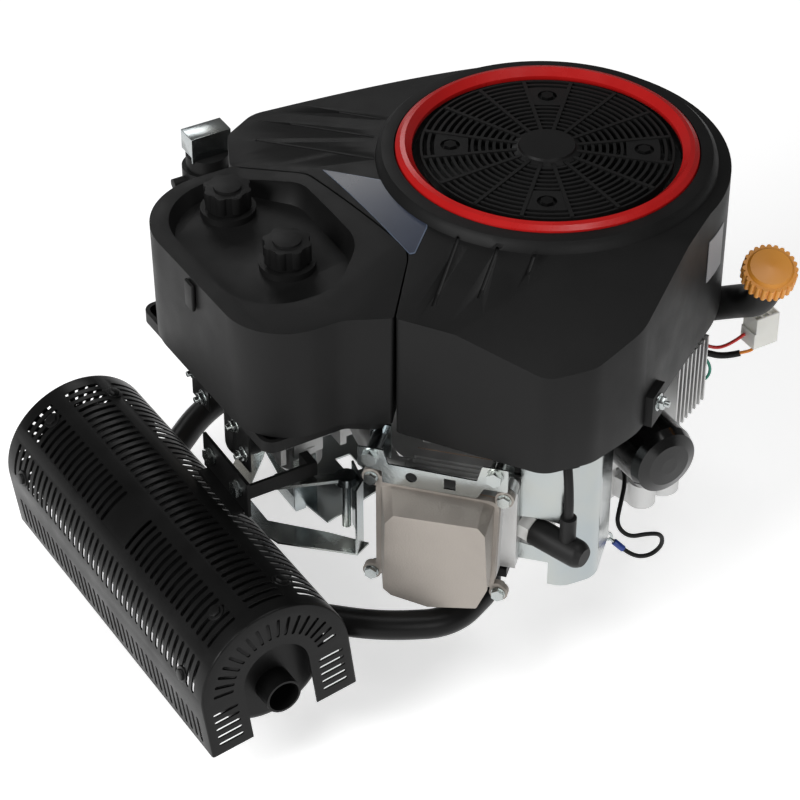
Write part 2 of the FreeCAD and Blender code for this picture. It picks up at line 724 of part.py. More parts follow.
def valley_baffle():
    left = prism([(-304, -20), (-296, -50), (-244, -98), (-228, -90), (-252, -60), (-290, -20)], 46, 48)
    wall = prism([(-244, -98), (-232, -88), (-226, -60), (-228, -60), (-234, -87), (-245, -96.5)], 48, 118)
    floor = prism([(-252, -60), (-200, -46), (-160, -38), (-160, 38), (-200, 46), (-252, 60), (-262, 0)], 58, 60)
    arm = block(-268, -246, -30, -28, 60, 112)
    body = fused([left, wall, floor.cut(block(-205, -190, -12, 12, 50, 70)), arm, left.mirror(ORIGIN, Y),
                  wall.mirror(ORIGIN, Y), prism([(-290, -20), (-304, -20), (-304, 20), (-290, 20)], 46, 48),
                  block(-262, -252, -20, 20, 46, 60)])
    return body


# ---- fuel and air ----

def intake_manifold():
    arms = []
    for n in (1, 2):
        port = at_cylinder(Part.Vertex(intake_port[0], -66.4, intake_port[1]), n).Point
        sign = -1 if n == 1 else 1
        points = [(port.x, port.y, port.z), (port.x - 10, port.y - sign * 10, port.z),
                  (-205, sign * 44, 132 + n), (-196, sign * 14, 130)]
        arms.append(tube("intake_%d" % n, points, 12.5))
    plenum = block(-214, -178, -22, 22, 112, 148)
    flange = block(-220, -214, -26, 26, 108, 150)
    body = fused(arms + [plenum, flange])
    return body.cut(rod(13, (-222, 0, 130), (-190, 0, 130)))


def carburettor():
    body = rod(22, (-220.2, 0, 130), (-276, 0, 130))
    bowl = turned([(0, 84), (17, 84), (21, 90), (21, 112), (0, 112)])
    bowl.translate(vec(-248, 0, 0))
    tower = block(-262, -234, -20, 20, 106, 154)
    body = fused([body, bowl, tower, block(-279, -274, -28, 28, 110, 152)])
    body = body.cut(rod(14, (-219, 0, 130), (-280, 0, 130)))
    body = body.cut(disc(3.06, 100, 160, -232, 0)).cut(disc(3.06, 100, 160, -264, 0))
    return body


def butterfly(x, arm_angle, arm_length):
    shaft = disc(3.0, 104, 164, x, 0)
    plate = rod(13.4, (x - 0.8, 0, 130), (x + 0.8, 0, 130))
    arm = block(0, arm_length, -4, 4, 160, 162.5).fuse(disc(7, 160, 162.5)).fuse(disc(5, 160, 162.5, arm_length))
    arm = arm.cut(disc(2, 150, 170, arm_length))
    arm.rotate(ORIGIN, Z, arm_angle)
    arm.translate(vec(x, 0, 0))
    return fused([shaft, plate, arm])


def governor_arm():
    shaft = disc(4.0, 60.3, 116, -240, -72)
    lever = block(0, 60, -5, 5, 112, 115).fuse(disc(9, 108, 116)).fuse(disc(5, 112, 115, 60))
    lever = lever.cut(disc(1.8, 100, 120, 60))
    lever.rotate(ORIGIN, Z, 160)
    lever.translate(vec(-240, -72, 0))
    return fused([shaft, lever])


ac_plan = [(-336, 148), (-331, -97), (-252, -97), (-219.2, -118.1), (-169.6, -57.4), (-184.6, 92.6), (-226.9, 148)]
ac_round = [72, 55, 40, 4, 34.5, 29, 6]
dish_plan = [(-320, 138), (-318, -56), (-236, -58), (-196, -20), (-194, 84), (-240, 138)]
dish_round = [64, 52, 36, 44, 30, 20]
ac_middle = (-255.0, 20.0)
ac_draft = 0.985


def plan_loft(points, sizes, z0, z1, middle, scale0):
    top = rounded(points, sizes)
    low_points = [(middle[0] + (x - middle[0]) * scale0, middle[1] + (y - middle[1]) * scale0) for x, y in points]
    low = rounded(low_points, [s * scale0 for s in sizes])
    low.translate(vec(0, 0, z0))
    top.translate(vec(0, 0, z1))
    return Part.makeLoft([low, top], True, True)


def inset_plan(points, amount):
    # moves each corner of a closed outline inwards by about amount
    out = []
    count = len(points)
    area = sum(points[i - 1][0] * points[i][1] - points[i][0] * points[i - 1][1] for i in range(count))
    side = 1.0 if area > 0 else -1.0
    for i, (x, y) in enumerate(points):
        a = vec(x - points[i - 1][0], y - points[i - 1][1], 0)
        b = vec(points[(i + 1) % count][0] - x, points[(i + 1) % count][1] - y, 0)
        a.normalize()
        b.normalize()
        na = vec(-a.y, a.x, 0) * side
        nb = vec(-b.y, b.x, 0) * side
        middle = na + nb
        middle = middle * (1.0 / (1.0 + na.dot(nb)))
        out.append((x + middle.x * amount, y + middle.y * amount))
    return out


def air_cover():
    whole = plan_loft(ac_plan, ac_round, cover_z0, lip_z, ac_middle, ac_draft)
    outer = whole.cut(block(-400, -100, -200, 200, cover_z1, lip_z + 1))
    raised = whole.common(dome(0)).common(block(-400, -100, -200, 200, cover_z1 - 8, lip_z + 1))
    inner_plan = inset_plan(ac_plan, 3.0)
    inner_round = [max(3.0, s - 3.0) for s in ac_round]
    inner = plan_loft(inner_plan, inner_round, cover_z0 - 0.1, cover_z1 - 16, ac_middle, ac_draft)
    dish = plan_loft(dish_plan, dish_round, cover_z1 - 12, cover_z1 + 3, ac_middle, 0.93)
    above = outline_solid(dish_plan, dish_round, cover_z1 + 3, lip_z + 1)
    pads = [disc(24, cover_z1 - 13, cover_z1 - 6, x, y) for x, y in knob_places.values()]
    body = outer.fuse(raised).cut(inner).cut(dish).cut(above)
    body = fused([body] + pads)
    for x, y in knob_places.values():
        body = body.cut(disc(5.2, cover_z0, cover_z1, x, y))
    return body


def knob(n):
    x, y = knob_places[n]
    base = cover_z1 - 5.6
    body = disc(18.5, base, base + 19, x, y)
    for k in range(8):
        a = 2 * pi * k / 8
        body = body.fuse(disc(5.0, base + 3, base + 19, x + 16.0 * cos(a), y + 16.0 * sin(a)))
    body = fused([body, disc(5.0, cover_z0 + 40, base + 1, x, y), disc(12, base + 18, base + 21, x, y)])
    return body


def filter_base():
    plan = inset_plan(ac_plan, 9.0)
    body = outline_solid(plan, 12, cover_z0 - 12, cover_z0 - 1)
    body = body.cut(outline_solid(inset_plan(plan, 4), 8, cover_z0 - 9, cover_z0 + 4))
    neck = disc(16, 130, cover_z0 - 9, -300, 0)
    elbow = rod(16, (-279.6, 0, 130), (-300, 0, 130))
    body = fused([body, neck, elbow, Part.makeSphere(16, vec(-300, 0, 130))])
    body = body.cut(disc(14, 126, 200, -300, 0)).cut(rod(13, (-270, 0, 130), (-300, 0, 130)))
    for x, y in knob_places.values():
        stud = disc(8.0, cover_z0 - 10, cover_z0 + 38, x, y).cut(disc(3.0, cover_z0, cover_z0 + 40, x, y))
        body = body.fuse(stud)
    return body


def filter_element():
    points = []
    folds = 46
    for k in range(folds * 2):
        a = pi * k / folds
        r = 40 if k % 2 else 34
        points.append((-278 + 0.85 * r * cos(a), 55 + 1.5 * r * sin(a) * 0.62))
    body = prism(points, cover_z0 - 8, cover_z0 + 60)
    hollow = prism([(-278 + (x + 278) * 0.8, 55 + (y - 55) * 0.8) for x, y in points], cover_z0 - 9, cover_z0 + 61)
    return body.cut(hollow)


# ---- cooling cover ----

arm_1 = [(-168, -57), (-218, -119), (-142, -227), (-100, -234), (-46, -220), (100, -122)]
arm_2 = [(46, 151), (-172, 218), (-206, 200), (-228, 152), (-183, 93)]


def housing_body(z0, z1, inset):
    corners = arm_1 + [(20, 40)] + arm_2
    sizes = [36, 5, 24, 40, 60, 5, 5, 5, 22, 20, 8, 28]
    if inset:
        middle = inset_plan(corners, inset)
        sizes = [max(2.0, s - inset) for s in sizes]
        corners = middle
    arms = outline_solid(corners, sizes, z0, z1)
    return fused([arms, disc(housing_r - inset, z0, z1)])


def dome(inset):
    # cone under which the whole top lies, highest at the inlet lip
    reach = 300.0
    return turned([(0, 0), (reach, 0), (reach, top_z - slope * (reach - lip_r) - inset),
                   (lip_r, top_z - inset), (0, top_z - inset)])


def under_facet(drop):
    # everything below the tilted plane over arm 1 and the -Y side: z = height + across * x + along * y
    height, across, along = facet
    corners = [vec(x, y, height - drop + across * x + along * y)
               for x, y in ((-400, -400), (400, -400), (400, 400), (-400, 400))]
    face = Part.Face(Part.makePolygon(corners + corners[:1]))
    return face.extrude(vec(0, 0, -600))


def blower_housing():
    outer = housing_body(housing_z0, lip_z, 0).common(dome(0)).common(under_facet(0))
    inner = housing_body(housing_z0 - 1, lip_z, housing_wall).common(dome(3.2)).common(under_facet(3.4))
    shell = outer.cut(inner)
    lip = turned([(ring_in, top_z - 5), (lip_r + 3, top_z - 3), (lip_r + 1, lip_z), (lip_r - 3, lip_z + 4),
                  (ring_out + 1.5, lip_z + 5), (ring_out + 1.5, lip_z), (ring_in, lip_z)])
    shell = fused([shell, lip]).cut(disc(ring_in, 300, 360))
    lug = turn(block(-13, 13, -5, 4, housing_z0 - 2, 214), 34)
    lug.translate(vec(-22, -206, 0))
    return fused([shell, lug])


def grille_ring():
    return turned([(ring_in, lip_z + 0.1), (ring_out + 1, lip_z + 0.1), (ring_out, ring_z - 4), (ring_out - 4, ring_z - 1),
                   (ring_out - 8, ring_z), (ring_in + 3, ring_z - 3), (ring_in, ring_z - 6)])


# ---- accessories ----

def starter_motor():
    x, y = starter_place
    body = disc(28, 48, 150, x, y)
    cap = turned([(0, 40), (22, 40), (28, 47), (28, 49), (0, 49)])
    cap.translate(vec(x, y, 0))
    nose = disc(22, 150, 176, x, y)
    shaft = disc(6, 176, 216, x, y)
    pinion = disc(13, 178, 198, x, y)
    bracket = turn(block(90, 112, -18, 18, 90, 110), starter_turn).cut(disc(case_r + 0.3, 80, 120))
    return fused([body, cap, nose, shaft, pinion, bracket])


def oil_filter():
    can = turned([(0, 0), (24, 0), (31, 3), (31.5, 8), (31.5, 66), (29, 74), (20, 78), (8, 79), (0, 79)])
    return laid(can, (8, -117.3, 112), (0, -1, 0))


fill_route = [(88, -30, 148), (116, -50, 148), (142, -92, 172), (143, -130, 198), (137, -144, 232)]


def oil_fill_tube():
    body = tube("oil_fill_tube", fill_route, 15.0, 12.0)
    top = vec(*fill_route[-1])
    line = top - vec(*fill_route[-2])
    line.normalize()
    neck = Part.makeCylinder(19, 10, top - line * 10, line)
    neck = neck.cut(Part.makeCylinder(12.5, 12, top - line * 11, line))
    foot = rod(20, fill_route[0], (99, -38, 148)).cut(rod(12.2, (85, -28, 148), (102, -40, 148)))
    shape = fused([body, neck, foot])
    return shape.cut(disc(case_r + 0.3, 60, 185))


def oil_cap():
    cap = disc(22, 0, 15)
    for k in range(24):
        a = 2 * pi * k / 24
        cap = cap.fuse(disc(2.2, 0, 15, 22 * cos(a), 22 * sin(a)))
    cap = fused([cap, turned([(0, 14), (21, 14), (18, 18), (0, 20)]), disc(11.6, -16, 1)])
    stick = block(-2.5, 2.5, -0.8, 0.8, -42, -16)
    top = vec(*fill_route[-1])
    line = top - vec(*fill_route[-2])
    line.normalize()
    return laid(Part.makeCompound([cap, stick]), tuple(top + line * 0.4), tuple(line))


def regulator():
    plate = block(-29, 29, -38, 38, 0, 8)
    fins = [block(-28.5 + 7.8 * k, -26.1 + 7.8 * k, -36, 36, 8, 22) for k in range(8)]
    body = fused([plate] + fins)
    socket = block(-14, 14, -48, -38, 0, 12)
    body = fused([body, socket])
    body.rotate(ORIGIN, X, 90)
    body.rotate(ORIGIN, Z, 28)
    body.translate(vec(82, -89, 110))
    return body


def wiring_connector():
    body = block(-13, 13, -10, 10, -16, 16)
    body.translate(vec(165, -106, 146))
    return body


red_wire = [(110, -76, 134), (124, -88, 124), (138, -98, 128), (150.9, -103, 140)]
green_wire = [(110, -76, 126), (126, -88, 112), (128, -88, 88), (116, -66, 70), (97, -47, 63)]


def harness_wires():
    wires = [tube("red_wire", red_wire, 1.6), tube("green_wire", green_wire, 1.4)]
    return Part.makeCompound(wires)


ground_route = [(10, -112, 63), (6, -132, 67), (-4, -150, 65), (-17, -163, 56), (-27, -172, 43), (-20, -182, 33),
                (-4, -188, 35), (10, -190, 30), (13, -188, 14), (3, -184, 3), (-11, -178, 4), (-19, -172, 13)]


def ground_lead():
    return tube("ground_lead", ground_route, 2.0)


def fuel_pump():
    x, y = pump_place
    body = fused([disc(24, 205, 227, x, y), disc(20, 227, 240, x, y), rod(5, (x, y, 216), (x - 36, y, 216)),
                  block(x - 18, x + 18, y - 30, y - 18, 196, 218)])
    clip = block(x - 20, x + 20, y - 10, y - 8, 238, 264).fuse(block(x - 20, x + 20, y - 10, y + 12, 262, 264))
    clip = clip.fuse(block(x - 20, x - 18, y - 10, y + 12, 244, 264))
    clip = clip.fuse(block(x + 18, x + 20, y - 10, y + 12, 244, 264))
    return Part.makeCompound([body, clip.removeSplitter().cut(disc(20.2, 220, 240.3, x, y))])


# ---- exhaust ----

def muffler_frame(shape):
    out = shape.copy()
    out.rotate(ORIGIN, Y, -muffler_roll)
    out.rotate(ORIGIN, Z, muffler_yaw)
    out.translate(vec(muffler_x, 0, muffler_z))
    return out


def arch(half, legs, y0, y1):
    wire = Part.Wire([
        Part.LineSegment(vec(-half, y0, -legs), vec(-half, y0, 0)).toShape(),
        Part.Arc(vec(-half, y0, 0), vec(0, y0, half), vec(half, y0, 0)).toShape(),
        Part.LineSegment(vec(half, y0, 0), vec(half, y0, -legs)).toShape(),
        Part.LineSegment(vec(half, y0, -legs), vec(-half, y0, -legs)).toShape(),
    ])
    return Part.Face(wire).extrude(vec(0, y1 - y0, 0))


def heat_shield():
    half = shield_w / 2
    y0, y1 = shield_y
    outer = arch(half, shield_h, y0, y1)
    inner = arch(half - shield_t, shield_h + 1, y0 + shield_t, y1 - shield_t)
    body = outer.cut(inner)
    notch = arch(31, shield_h + 1, y0 - 1, y0 + 3).common(block(-31, 31, y0 - 2, y0 + 4, -shield_h - 2, 0))
    body = body.cut(notch)
    body = body.cut(block(-31, 31, y1 - 3, y1 + 1, -shield_h - 2, 0))
    for y in (-124, 124):
        body = body.cut(block(40, 80, y - 37, y + 37, -shield_h - 2, 14))
    return muffler_frame(body)


def muffler_can():
    y0, y1 = shield_y
    can = rod(can_r, (0, y0 + 14, -4), (0, y1 - 14, -4))
    can = can.makeFillet(8, [e for e in can.Edges if e.Curve.TypeId == "Part::GeomCircle"])
    tail = rod(tail_r, (0, y0 - 6, -22), (0, y0 + 20, -22))
    body = fused([can, tail]).cut(rod(tail_r - 2, (0, y0 - 7, -22), (0, y0 + 18, -22)))
    return muffler_frame(body)


elbow_z = {1: 27.0, 2: 40.0}


def exhaust_pipes():
    pipes = []
    for n in (1, 2):
        port = at_cylinder(Part.Vertex(exhaust_port[0], exhaust_port[1], -47.3), n).Point
        sign = 1 if n == 1 else -1
        points = [(port.x, port.y, port.z - 7.5), (port.x - 4, port.y - sign * 11, elbow_z[n] - 1),
                  (-205, sign * -192, 25), (-262, sign * -168, 28), (-322, sign * -118, 31)]
        pipe = tube("exhaust_%d" % n, points, 12.7, 11.0)
        flange = block(-22, 22, -13, 13, port.z - 9.2, port.z - 0.2)
        flange = turn(flange, -45 * sign)
        flange.translate(vec(port.x, port.y, 0))
        flange = flange.cut(disc(11.2, 0, 140, port.x, port.y))
        pipes.append(fused([pipe, flange]))
    can = muffler_frame(rod(can_r + 0.2, (0, -170, -4), (0, 170, -4)))
    return Part.makeCompound(pipes).cut(can)


bracket_places = [(4.0, 120.0), (-46.0, 120.0)]


def muffler_bracket():
    plate = block(-329, -326, -62, 20, 98.5, 134)
    foot = block(-339, -326, -54, 12, 98.5, 101.5)
    arm = block(-326, -262, -62, -59, 118, 132).fuse(block(-270, -262, -62, -44, 118, 132))
    body = fused([plate, foot, arm])
    for y, z in bracket_places:
        body = body.cut(rod(4.3, (-340, y, z), (-320, y, z)))
    return body


def bracket_bolts():
    return [laid(hex_bolt(0, 0, 0, 13, 6, 4.2, 7), (-329, y, z), (-1, 0, 0)) for y, z in bracket_places]


def build():
    nodes["crankshaft"] = crankshaft()
    nodes["crank_gear"] = crank_gear()
    nodes["camshaft"] = camshaft()
    nodes["cam_gear"] = cam_gear()
    nodes["flywheel"] = flywheel()
    nodes["ring_gear"] = ring_gear()
    nodes["flywheel_fixings"] = flywheel_fixings()
    nodes["cooling_fan"] = cooling_fan()
    nodes["rotating_screen"] = rotating_screen()
    nodes["screen_bolts"] = screen_bolts()
    nodes["sump"] = sump()
    nodes["crankcase"] = crankcase()
    nodes["main_bearings"] = main_bearings()
    for n in (1, 2):
        nodes["piston_%d" % n] = piston(n)
        nodes["connecting_rod_%d" % n] = connecting_rod(n)
        nodes["cylinder_%d" % n] = cylinder(n)
        nodes["cylinder_head_%d" % n] = head(n)
        nodes["valve_cover_%d" % n] = valve_cover(n)
        nodes["valve_train_%d" % n] = valve_train(n)
        nodes["cylinder_shroud_%d" % n] = shroud(n)
        nodes["cover_knob_%d" % n] = knob(n)
    nodes["gaskets"] = gaskets()
    nodes["flange_bolts"] = Part.makeCompound(sump_bolts() + valve_cover_bolts() + bracket_bolts())
    nodes["spark_plugs"] = spark_plugs()
    nodes["plug_boots"] = plug_boots()
    nodes["plug_leads"] = plug_leads()
    nodes["ignition_coils"] = ignition_coils()
    nodes["shroud_brackets"] = shroud_brackets()
    nodes["valley_baffle"] = valley_baffle()
    nodes["intake_manifold"] = intake_manifold()
    nodes["carburettor"] = carburettor()
    nodes["throttle_lever"] = butterfly(-232, -70, 26)
    nodes["choke_lever"] = butterfly(-264, 50, 24)
    nodes["governor_arm"] = governor_arm()
    nodes["air_cover"] = air_cover()
    nodes["filter_base"] = filter_base()
    nodes["filter_element"] = filter_element()
    nodes["blower_housing"] = blower_housing()
    nodes["grille_ring"] = grille_ring()
    nodes["starter_motor"] = starter_motor()
    nodes["oil_filter"] = oil_filter()
    nodes["oil_fill_tube"] = oil_fill_tube()
    nodes["oil_cap"] = oil_cap()
    nodes["regulator"] = regulator()
    nodes["wiring_connector"] = wiring_connector()
    nodes["harness_wires"] = harness_wires()
    nodes["ground_lead"] = ground_lead()
    nodes["fuel_pump"] = fuel_pump()
    nodes["heat_shield"] = heat_shield()
    nodes["muffler_can"] = muffler_can()
    nodes["exhaust_pipes"] = exhaust_pipes()
    nodes["muffler_bracket"] = muffler_bracket()


os.makedirs("parts", exist_ok=True)
build()
for name, shape in nodes.items():
    shape.exportStep("parts/%s.step" % name)
print(len(nodes), "nodes")
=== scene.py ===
import json
import bpy
from math import cos, pi, radians, sin, sqrt
from mathutils import Euler, Matrix, Vector


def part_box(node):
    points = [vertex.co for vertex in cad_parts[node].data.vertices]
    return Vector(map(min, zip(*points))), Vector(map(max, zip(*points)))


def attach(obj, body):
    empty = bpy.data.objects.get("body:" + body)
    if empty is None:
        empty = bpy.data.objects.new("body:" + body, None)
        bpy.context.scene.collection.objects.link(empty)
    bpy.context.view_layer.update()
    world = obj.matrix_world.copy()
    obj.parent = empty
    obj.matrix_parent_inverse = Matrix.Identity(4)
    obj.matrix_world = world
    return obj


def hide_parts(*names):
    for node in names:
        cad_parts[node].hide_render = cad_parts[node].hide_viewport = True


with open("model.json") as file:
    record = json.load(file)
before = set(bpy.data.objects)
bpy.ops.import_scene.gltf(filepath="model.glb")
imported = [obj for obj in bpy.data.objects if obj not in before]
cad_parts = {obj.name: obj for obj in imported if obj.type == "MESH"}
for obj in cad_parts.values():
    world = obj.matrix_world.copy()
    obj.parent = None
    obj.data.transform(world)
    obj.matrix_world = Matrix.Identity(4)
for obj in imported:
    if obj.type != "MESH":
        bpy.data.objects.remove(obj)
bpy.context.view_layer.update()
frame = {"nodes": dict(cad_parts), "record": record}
nodes = frame["nodes"]

# camera, floor and lights

cameraSettings = {"place": (-1.10233, -1.65761, 1.60645), "turn": -30.0, "down": 38.0, "lens": 123.75}


def makeCamera():
    data = bpy.data.cameras.new("camera")
    data.lens = cameraSettings["lens"]
    data.sensor_width = 36.0
    camera = bpy.data.objects.new("camera", data)
    camera.location = cameraSettings["place"]
    camera.rotation_euler = Euler((radians(90 - cameraSettings["down"]), 0, radians(cameraSettings["turn"])))
    bpy.context.scene.collection.objects.link(camera)
    bpy.context.scene.camera = camera


def pickNone():
    if bpy.context.mode != "OBJECT":
        bpy.ops.object.mode_set(mode="OBJECT")
    bpy.ops.object.select_all(action="DESELECT")


def pickOnly(piece):
    pickNone()
    piece.select_set(True)
    bpy.context.view_layer.objects.active = piece


def makeStage():
    floorSettings = {"z": -0.08, "size": 12.0, "colour": (0.93, 0.93, 0.93, 1), "glow": 0.5}
    pickNone()
    bpy.ops.mesh.primitive_plane_add(size=floorSettings["size"], location=(0, 0, floorSettings["z"]))
    floor = bpy.context.object
    floor.name = "floor"
    paint = bpy.data.materials.new("floor_paint")
    paint.use_nodes = True
    shader = paint.node_tree.nodes["Principled BSDF"]
    shader.inputs["Base Color"].default_value = floorSettings["colour"]
    shader.inputs["Roughness"].default_value = 0.85
    shader.inputs["Emission Color"].default_value = (1, 1, 1, 1)
    shader.inputs["Emission Strength"].default_value = floorSettings["glow"]
    floor.data.materials.append(paint)


def addLight(name, place, aim, size, watts):
    data = bpy.data.lights.new(name, "AREA")
    data.size = size
    data.energy = watts
    lamp = bpy.data.objects.new(name, data)
    lamp.location = place
    lamp.rotation_euler = (Vector(aim) - Vector(place)).to_track_quat("-Z", "Y").to_euler()
    bpy.context.scene.collection.objects.link(lamp)


def makeLights():
    middle = (-0.1, 0, 0.15)
    addLight("left_soft", (-2.5, -0.5, 1.5), middle, 1.3, 60)
    addLight("high_soft", (0.3, -0.6, 3.2), middle, 1.4, 24)
    addLight("back_soft", (0.4, 2.4, 1.8), middle, 0.9, 8)
    addLight("front_soft", (-0.4, -2.6, 1.2), middle, 1.2, 18)
    world = bpy.data.worlds.new("studio")
    world.use_nodes = True
    world.node_tree.nodes["Background"].inputs["Color"].default_value = (1, 1, 1, 1)
    world.node_tree.nodes["Background"].inputs["Strength"].default_value = 0.12
    bpy.context.scene.world = world


bpy.context.scene.view_settings.view_transform = "Standard"
makeCamera()
makeStage()
makeLights()
print("stage ready")

# shade: two colours mixed by a slow noise; rough: low and high; grain: fine bumps per metre and their
# height in metres; slow, stretch, specular, coat and subsurface may be left out
finishLooks = {
    "machined_steel": {
        "shade": ((0.52, 0.52, 0.53), (0.62, 0.62, 0.62)), "rough": (0.22, 0.38),
        "metal": 1.0, "grain": (900, 0.00003), "stretch": (1, 1, 12),
    },
    "cast_iron_part": {
        "shade": ((0.16, 0.15, 0.15), (0.26, 0.25, 0.24)), "rough": (0.4, 0.6),
        "metal": 0.9, "grain": (700, 0.00015),
    },
    "cast_aluminium": {
        "shade": ((0.5, 0.5, 0.5), (0.66, 0.66, 0.65)), "rough": (0.38, 0.55),
        "metal": 0.9, "grain": (650, 0.00022),
    },
    "warm_cast_aluminium": {
        "shade": ((0.27, 0.245, 0.22), (0.4, 0.365, 0.33)), "rough": (0.42, 0.6),
        "metal": 0.7, "grain": (620, 0.00028),
    },
    "piston_aluminium": {
        "shade": ((0.62, 0.62, 0.62), (0.72, 0.72, 0.71)), "rough": (0.25, 0.4),
        "metal": 1.0, "grain": (800, 0.00004), "stretch": (12, 12, 1),
    },
    "bearing_bronze": {
        "shade": ((0.5, 0.34, 0.16), (0.62, 0.44, 0.22)), "rough": (0.25, 0.4),
        "metal": 1.0, "grain": (700, 0.00004),
    },
    "gasket_sheet": {
        "shade": ((0.2, 0.1, 0.05), (0.34, 0.2, 0.11)), "rough": (0.6, 0.8),
        "metal": 0.0, "grain": (900, 0.0001),
    },
    "zinc_plate": {
        "shade": ((0.3, 0.36, 0.41), (0.5, 0.49, 0.43)), "rough": (0.16, 0.3),
        "metal": 1.0, "grain": (260, 0.00008), "slow": 16,
    },
    "black_steel": {
        "shade": ((0.003, 0.003, 0.003), (0.007, 0.007, 0.007)), "rough": (0.3, 0.42),
        "metal": 0.0, "grain": (1100, 0.00005), "specular": 0.14,
    },
    "black_plastic": {
        "shade": ((0.005, 0.005, 0.005), (0.009, 0.009, 0.009)), "rough": (0.42, 0.54),
        "metal": 0.0, "grain": (1500, 0.00012), "specular": 0.15,
    },
    "black_gloss": {
        "shade": ((0.002, 0.002, 0.002), (0.005, 0.005, 0.005)), "rough": (0.1, 0.18),
        "metal": 0.0, "grain": (300, 0.00002), "specular": 0.4,
    },
    "black_rubber": {
        "shade": ((0.006, 0.006, 0.006), (0.012, 0.012, 0.012)), "rough": (0.42, 0.6),
        "metal": 0.0, "grain": (900, 0.00006), "specular": 0.2,
    },
    "red_gloss": {
        "shade": ((0.36, 0.006, 0.006), (0.46, 0.01, 0.009)), "rough": (0.2, 0.32),
        "metal": 0.0, "grain": (240, 0.00005), "specular": 0.35,
    },
    "yellow_plastic": {
        "shade": ((0.6, 0.22, 0.015), (0.72, 0.31, 0.035)), "rough": (0.38, 0.52),
        "metal": 0.0, "grain": (1000, 0.00009),
    },
    "white_nylon": {
        "shade": ((0.72, 0.71, 0.66), (0.82, 0.82, 0.78)), "rough": (0.35, 0.5),
        "metal": 0.0, "grain": (500, 0.00005), "subsurface": 0.2,
    },
    "wire_sheath": {
        "shade": ((0.5, 0.01, 0.01), (0.6, 0.03, 0.02)), "rough": (0.3, 0.42),
        "metal": 0.0, "grain": (600, 0.00005),
    },
    "wire_green": {
        "shade": ((0.005, 0.16, 0.1), (0.01, 0.22, 0.15)), "rough": (0.3, 0.42),
        "metal": 0.0, "grain": (600, 0.00005),
    },
    "wire_orange": {
        "shade": ((0.7, 0.2, 0.01), (0.8, 0.28, 0.02)), "rough": (0.3, 0.42),
        "metal": 0.0, "grain": (600, 0.00005),
    },
    "wire_blue": {
        "shade": ((0.01, 0.03, 0.2), (0.015, 0.06, 0.32)), "rough": (0.3, 0.42),
        "metal": 0.0, "grain": (600, 0.00005),
    },
    "decal_edge": {
        "shade": ((0.05, 0.07, 0.11), (0.12, 0.15, 0.21)), "rough": (0.25, 0.35),
        "metal": 0.0, "grain": (300, 0.00002), "slow": 9,
    },
    "decal_face": {
        "shade": ((0.004, 0.005, 0.009), (0.035, 0.045, 0.075)), "rough": (0.25, 0.35),
        "metal": 0.0, "grain": (300, 0.00002), "slow": 11,
    },
    "label_paper": {
        "shade": ((0.24, 0.24, 0.25), (0.3, 0.3, 0.31)), "rough": (0.5, 0.6),
        "metal": 0.0, "grain": (400, 0.00002),
    },
    "porcelain": {
        "shade": ((0.78, 0.78, 0.75), (0.86, 0.86, 0.84)), "rough": (0.1, 0.2),
        "metal": 0.0, "grain": (200, 0.00002), "coat": 0.5,
    },
    "filter_paper": {
        "shade": ((0.62, 0.52, 0.26), (0.76, 0.66, 0.4)), "rough": (0.7, 0.9),
        "metal": 0.0, "grain": (1200, 0.0001),
    },
}


def makeFinish(name, look):
    finish = bpy.data.materials.new(name)
    finish.use_nodes = True
    tree = finish.node_tree
    shader = tree.nodes["Principled BSDF"]
    place = tree.nodes.new("ShaderNodeTexCoord")
    mapping = tree.nodes.new("ShaderNodeMapping")
    mapping.inputs["Scale"].default_value = look.get("stretch", (1, 1, 1))
    tree.links.new(place.outputs["Object"], mapping.inputs["Vector"])
    slow = tree.nodes.new("ShaderNodeTexNoise")  # patches of colour and gloss
    slow.inputs["Scale"].default_value = look.get("slow", 28)
    slow.inputs["Detail"].default_value = 5
    tree.links.new(place.outputs["Object"], slow.inputs["Vector"])
    mix = tree.nodes.new("ShaderNodeMix")
    mix.data_type = "RGBA"
    mix.inputs["A"].default_value = (*look["shade"][0], 1)
    mix.inputs["B"].default_value = (*look["shade"][1], 1)
    tree.links.new(slow.outputs["Fac"], mix.inputs["Factor"])
    tree.links.new(mix.outputs["Result"], shader.inputs["Base Color"])
    fine = tree.nodes.new("ShaderNodeTexNoise")
    fine.inputs["Scale"].default_value = look["grain"][0]
    fine.inputs["Detail"].default_value = 3
    tree.links.new(mapping.outputs["Vector"], fine.inputs["Vector"])
    gloss = tree.nodes.new("ShaderNodeMapRange")
    gloss.inputs["From Min"].default_value = 0.3
    gloss.inputs["From Max"].default_value = 0.7
    gloss.inputs["To Min"].default_value = look["rough"][0]
    gloss.inputs["To Max"].default_value = look["rough"][1]
    tree.links.new(slow.outputs["Fac"], gloss.inputs["Value"])
    tree.links.new(gloss.outputs["Result"], shader.inputs["Roughness"])
    bump = tree.nodes.new("ShaderNodeBump")
    bump.inputs["Distance"].default_value = look["grain"][1]
    tree.links.new(fine.outputs["Fac"], bump.inputs["Height"])
    tree.links.new(bump.outputs["Normal"], shader.inputs["Normal"])
    shader.inputs["Metallic"].default_value = look["metal"]
    shader.inputs["Specular IOR Level"].default_value = look.get("specular", 0.5)
    shader.inputs["Coat Weight"].default_value = look.get("coat", 0)
    shader.inputs["Subsurface Weight"].default_value = look.get("subsurface", 0)
    shader.inputs["Subsurface Radius"].default_value = (0.003, 0.003, 0.002)
    return finish


finishes = {name: makeFinish(name, look) for name, look in finishLooks.items()}


def paintNode(piece, name):
    piece.data.materials.clear()
    piece.data.materials.append(finishes[name])


for row in frame["record"]["subparts"]:
    paintNode(nodes[row["node"]], row["material_slot"])
print("finishes ready")

mm = 0.001


def settle(piece):
    pickOnly(piece)
    bpy.ops.object.transform_apply(location=True, rotation=True, scale=True)
    return piece


